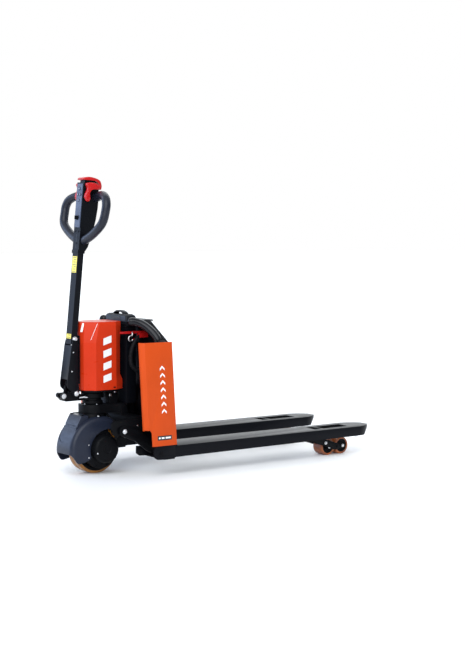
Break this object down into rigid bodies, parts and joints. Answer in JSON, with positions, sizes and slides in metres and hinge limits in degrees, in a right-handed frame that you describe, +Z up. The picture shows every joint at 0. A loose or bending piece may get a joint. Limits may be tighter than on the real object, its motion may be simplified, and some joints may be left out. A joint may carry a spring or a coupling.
{
  "type": "electric pallet truck",
  "caption": "Walk-behind powered pallet truck: steered drive wheel with tiller and loop handle, battery, lifting fork frame, and load rollers under the fork tips.",
  "frame": {"origin": "centre of the bounding box in plan, on the floor", "axes": "+X from the operator's end towards the fork tips, +Z up, +Y to the left seen from behind the tiller"},
  "size_m": [1.566, 0.556, 1.2841],
  "materials": {
    "steel_black": "satin powder coat on folded and rolled steel",
    "cast_black": "matt paint on rough cast iron",
    "plastic_black": "fine-grained moulded plastic",
    "fender_grey": "grained dark slate moulded plastic",
    "cover_orange": "smooth moulded plastic, satin gloss",
    "panel_orange": "powder-coated sheet steel",
    "control_red": "glossy moulded plastic",
    "grip_rubber": "soft-touch rubber over a tube",
    "panel_grey": "satin overlay film",
    "drive_tyre": "amber polyurethane",
    "roller_tyre": "orange-brown polyurethane",
    "zinc": "bright zinc plate",
    "chrome_rod": "hard chrome"
  },
  "bodies": {
    "chassis": {"chassis_casting": "cast_black", "cover_tray": "plastic_black", "front_cover": "cover_orange", "vent_panel": "plastic_black", "controller_box": "plastic_black", "battery_housing": "plastic_black", "lift_cylinder": "steel_black", "pump_unit": "steel_black"},
    "battery": {"battery_pack": "plastic_black"},
    "steer": {"steering_head": "cast_black", "tiller_bracket": "cast_black", "yoke": "cast_black", "drive_fender": "fender_grey", "gearbox": "cast_black", "drive_motor": "cast_black"},
    "drive_wheel": {"drive_tyre": "drive_tyre", "drive_rim": "cast_black"},
    "tiller": {"tiller_base": "steel_black", "tiller_tube": "steel_black", "pivot_bolt": "zinc", "head_shell": "plastic_black", "control_panel": "panel_grey", "loop_handle_right": "grip_rubber", "loop_handle_left": "grip_rubber"},
    "spring_barrel": {"spring_cylinder": "steel_black"},
    "spring_plunger": {"spring_rod": "chrome_rod"},
    "throttle": {"throttle": "control_red"},
    "belly_button": {"belly_button": "control_red"},
    "horn_button": {"horn_button": "plastic_black"},
    "lift_button": {"lift_button": "plastic_black"},
    "lower_button": {"lower_button": "plastic_black"},
    "creep_button": {"creep_button": "plastic_black"},
    "key_switch": {"key_switch": "plastic_black"},
    "fork_frame": {"bulkhead": "steel_black", "hood": "plastic_black", "piston_rod": "chrome_rod", "red_bracket": "control_red", "fork_right": "steel_black", "side_panel_right": "panel_orange", "heel_right": "steel_black", "bent_tube_right": "plastic_black", "fork_left": "steel_black", "side_panel_left": "panel_orange", "heel_left": "steel_black", "bent_tube_left": "plastic_black"},
    "rocker_right": {"rocker_right": "cast_black"},
    "push_rod_right": {"push_rod_right": "steel_black"},
    "load_arm_right": {"load_arm_right": "cast_black"},
    "bogie_right": {"bogie_right": "cast_black"},
    "roller_right_inner": {"load_roller_right_inner": "roller_tyre"},
    "roller_right_outer": {"load_roller_right_outer": "roller_tyre"},
    "entry_right": {"entry_roller_right": "zinc"},
    "rocker_left": {"rocker_left": "cast_black"},
    "push_rod_left": {"push_rod_left": "steel_black"},
    "load_arm_left": {"load_arm_left": "cast_black"},
    "bogie_left": {"bogie_left": "cast_black"},
    "roller_left_inner": {"load_roller_left_inner": "roller_tyre"},
    "roller_left_outer": {"load_roller_left_outer": "roller_tyre"},
    "entry_left": {"entry_roller_left": "zinc"}
  },
  "joints": [
    {"name": "steer_turn", "type": "hinge", "parent": "chassis", "child": "steer", "pos_m": [-0.61702, 0, 0.2], "axis": [0, 0, 1], "range_deg": [-90, 90]},
    {"name": "drive_spin", "type": "hinge", "parent": "steer", "child": "drive_wheel", "pos_m": [-0.61702, 0, 0.105], "axis": [0, 1, 0], "continuous": true},
    {"name": "tiller_tilt", "type": "hinge", "parent": "steer", "child": "tiller", "pos_m": [-0.71502, 0, 0.354], "axis": [0, -1, 0], "range_deg": [0, 78], "stiffness_Nm_per_rad": 16, "springref_deg": -126.05},
    {"name": "gas_spring_swing", "type": "hinge", "parent": "tiller", "child": "spring_barrel", "pos_m": [-0.71702, 0, 0.548], "axis": [0, -1, 0], "range_deg": [0, 5]},
    {"name": "gas_spring_stroke", "type": "slide", "parent": "spring_barrel", "child": "spring_plunger", "axis": [-0.198, 0, -0.9802], "range_m": [-0.049, 0]},
    {"name": "battery_lift_out", "type": "slide", "parent": "chassis", "child": "battery", "axis": [0, 0, 1], "range_m": [0, 0.25]},
    {"name": "throttle_turn", "type": "hinge", "parent": "tiller", "child": "throttle", "pos_m": [-0.64167, 0, 1.23483], "axis": [0, 1, 0], "range_deg": [-15, 15], "stiffness_Nm_per_rad": 1.5},
    {"name": "belly_press", "type": "slide", "parent": "tiller", "child": "belly_button", "axis": [-0.0946, 0, -0.9955], "range_m": [0, 0.008], "stiffness_N_per_m": 900, "springref_m": -0.004},
    {"name": "horn_press", "type": "slide", "parent": "tiller", "child": "horn_button", "axis": [0.9955, 0, -0.0946], "range_m": [0, 0.0018], "stiffness_N_per_m": 1200, "springref_m": -0.002},
    {"name": "lift_press", "type": "slide", "parent": "tiller", "child": "lift_button", "axis": [0.9955, 0, -0.0946], "range_m": [0, 0.0018], "stiffness_N_per_m": 1200, "springref_m": -0.002},
    {"name": "lower_press", "type": "slide", "parent": "tiller", "child": "lower_button", "axis": [0.9955, 0, -0.0946], "range_m": [0, 0.0018], "stiffness_N_per_m": 1200, "springref_m": -0.002},
    {"name": "creep_press", "type": "slide", "parent": "tiller", "child": "creep_button", "axis": [0.9955, 0, -0.0946], "range_m": [0, 0.0018], "stiffness_N_per_m": 1200, "springref_m": -0.002},
    {"name": "key_turn", "type": "hinge", "parent": "tiller", "child": "key_switch", "pos_m": [-0.66891, 0, 1.10684], "axis": [0.9955, 0, -0.0946], "range_deg": [0, 90]},
    {"name": "fork_lift", "type": "slide", "parent": "chassis", "child": "fork_frame", "axis": [0, 0, 1], "range_m": [-0.046, 0.069]},
    {"name": "rocker_right_swing", "type": "hinge", "parent": "chassis", "child": "rocker_right", "pos_m": [-0.57402, -0.186, 0.197], "axis": [0, -1, 0], "range_deg": [-15.4, 23]},
    {"name": "push_rod_right_slide", "type": "slide", "parent": "fork_frame", "child": "push_rod_right", "axis": [1, 0, 0], "range_m": [-0.0037, 0.0055]},
    {"name": "load_arm_right_swing", "type": "hinge", "parent": "fork_frame", "child": "load_arm_right", "pos_m": [0.37498, -0.2015, 0.1], "axis": [0, 1, 0], "range_deg": [-14.8, 22.1]},
    {"name": "bogie_right_level", "type": "hinge", "parent": "load_arm_right", "child": "bogie_right", "pos_m": [0.56498, -0.2015, 0.04], "axis": [0, -1, 0], "range_deg": [-14.8, 22.1]},
    {"name": "roller_right_inner_spin", "type": "hinge", "parent": "bogie_right", "child": "roller_right_inner", "pos_m": [0.52398, -0.2015, 0.04], "axis": [0, 1, 0], "continuous": true},
    {"name": "roller_right_outer_spin", "type": "hinge", "parent": "bogie_right", "child": "roller_right_outer", "pos_m": [0.60598, -0.2015, 0.04], "axis": [0, 1, 0], "continuous": true},
    {"name": "entry_right_spin", "type": "hinge", "parent": "fork_frame", "child": "entry_right", "pos_m": [0.70498, -0.2015, 0.084], "axis": [0, 1, 0], "continuous": true},
    {"name": "rocker_left_swing", "type": "hinge", "parent": "chassis", "child": "rocker_left", "pos_m": [-0.57402, 0.186, 0.197], "axis": [0, -1, 0], "range_deg": [-15.4, 23]},
    {"name": "push_rod_left_slide", "type": "slide", "parent": "fork_frame", "child": "push_rod_left", "axis": [1, 0, 0], "range_m": [-0.0037, 0.0055]},
    {"name": "load_arm_left_swing", "type": "hinge", "parent": "fork_frame", "child": "load_arm_left", "pos_m": [0.37498, 0.2015, 0.1], "axis": [0, 1, 0], "range_deg": [-14.8, 22.1]},
    {"name": "bogie_left_level", "type": "hinge", "parent": "load_arm_left", "child": "bogie_left", "pos_m": [0.56498, 0.2015, 0.04], "axis": [0, -1, 0], "range_deg": [-14.8, 22.1]},
    {"name": "roller_left_inner_spin", "type": "hinge", "parent": "bogie_left", "child": "roller_left_inner", "pos_m": [0.52398, 0.2015, 0.04], "axis": [0, 1, 0], "continuous": true},
    {"name": "roller_left_outer_spin", "type": "hinge", "parent": "bogie_left", "child": "roller_left_outer", "pos_m": [0.60598, 0.2015, 0.04], "axis": [0, 1, 0], "continuous": true},
    {"name": "entry_left_spin", "type": "hinge", "parent": "fork_frame", "child": "entry_left", "pos_m": [0.70498, 0.2015, 0.084], "axis": [0, 1, 0], "continuous": true}
  ],
  "couplings": [
    {"joint": "gas_spring_swing", "follows": "tiller_tilt", "ratio": 0.06},
    {"joint": "gas_spring_stroke", "follows": "tiller_tilt", "m_per_rad": -0.0353},
    {"joint": "rocker_right_swing", "follows": "fork_lift", "rad_per_m": 5.7596},
    {"joint": "push_rod_right_slide", "follows": "fork_lift", "ratio": 0.075},
    {"joint": "load_arm_right_swing", "follows": "fork_lift", "rad_per_m": 5.5152},
    {"joint": "bogie_right_level", "follows": "fork_lift", "rad_per_m": 5.5152},
    {"joint": "rocker_left_swing", "follows": "fork_lift", "rad_per_m": 5.7596},
    {"joint": "push_rod_left_slide", "follows": "fork_lift", "ratio": 0.075},
    {"joint": "load_arm_left_swing", "follows": "fork_lift", "rad_per_m": 5.5152},
    {"joint": "bogie_left_level", "follows": "fork_lift", "rad_per_m": 5.5152}
  ]
}
